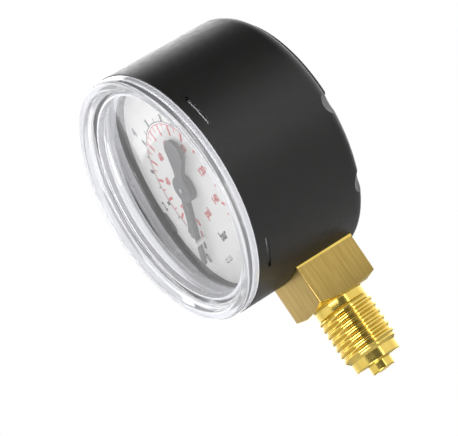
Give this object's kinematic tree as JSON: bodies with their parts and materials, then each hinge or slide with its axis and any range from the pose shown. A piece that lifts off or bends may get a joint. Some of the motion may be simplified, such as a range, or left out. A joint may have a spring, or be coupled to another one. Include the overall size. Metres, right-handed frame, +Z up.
{
  "type": "pressure gauge",
  "caption": "Bottom-connection Bourdon-tube pressure gauge with black plastic case, snap-in clear window, white dial and brass threaded stem.",
  "frame": {"origin": "centre of the stem's flat sealing face, where the pilot leaves the spigot", "axes": "+Z up the stem towards the case, the dial faces -Y, +X to the right seen from the front"},
  "size_m": [0.053, 0.0309, 0.0775],
  "materials": {
    "case_plastic": "satin black moulded ABS",
    "window_plastic": "clear moulded plastic",
    "dial_plastic": "matt white with printed scales",
    "pointer_plastic": "matt black moulded plastic",
    "stem_brass": "drawn flats, turned bright thread",
    "movement_brass": "blanked and turned brass",
    "tube_bronze": "drawn bronze tube",
    "spring_bronze": "rolled bronze strip",
    "steel": "turned steel"
  },
  "bodies": {
    "root": {"case": "case_plastic", "window": "window_plastic", "dial": "dial_plastic", "stem": "stem_brass", "stem_screws": "steel", "movement_back_plate": "movement_brass", "movement_front_plate": "movement_brass", "movement_pillars": "movement_brass", "movement_screws": "steel", "movement_mount_screws": "steel", "bourdon_tube": "tube_bronze", "hairspring": "spring_bronze", "hairspring_stud": "movement_brass"},
    "pointer_group": {"pinion_shaft": "steel", "hairspring_collet": "movement_brass", "pointer_bush": "movement_brass", "pointer": "pointer_plastic"},
    "sector_group": {"sector_gear": "movement_brass", "sector_arbor": "steel", "link_pin": "steel"},
    "link_group": {"link": "movement_brass"},
    "tube_tip": {"tube_end_piece": "movement_brass", "tip_pin": "steel"}
  },
  "joints": [
    {"name": "tip_travel", "type": "slide", "parent": "root", "child": "tube_tip", "axis": [0.7909, 0, 0.6119], "range_m": [0, 0.00333], "stiffness_N_per_m": 100, "springref_m": -0.0005, "deforming": ["bourdon_tube"]},
    {"name": "pointer_spin", "type": "hinge", "parent": "root", "child": "pointer_group", "pos_m": [0, -0.01, 0.049], "axis": [0, 1, 0], "range_deg": [0, 275], "deforming": ["hairspring"]},
    {"name": "sector_swing", "type": "hinge", "parent": "root", "child": "sector_group", "pos_m": [0.0015, -0.005, 0.0381], "axis": [0, 1, 0], "range_deg": [-27.5, 0]},
    {"name": "link_swing", "type": "hinge", "parent": "sector_group", "child": "link_group", "pos_m": [0.00437, -0.00435, 0.03172], "axis": [0, 1, 0], "range_deg": [0, 27.5]}
  ],
  "couplings": [
    {"joint": "pointer_spin", "follows": "tip_travel", "rad_per_m": 1439.1},
    {"joint": "sector_swing", "follows": "tip_travel", "rad_per_m": -143.91},
    {"joint": "link_swing", "follows": "tip_travel", "rad_per_m": 143.91}
  ]
}
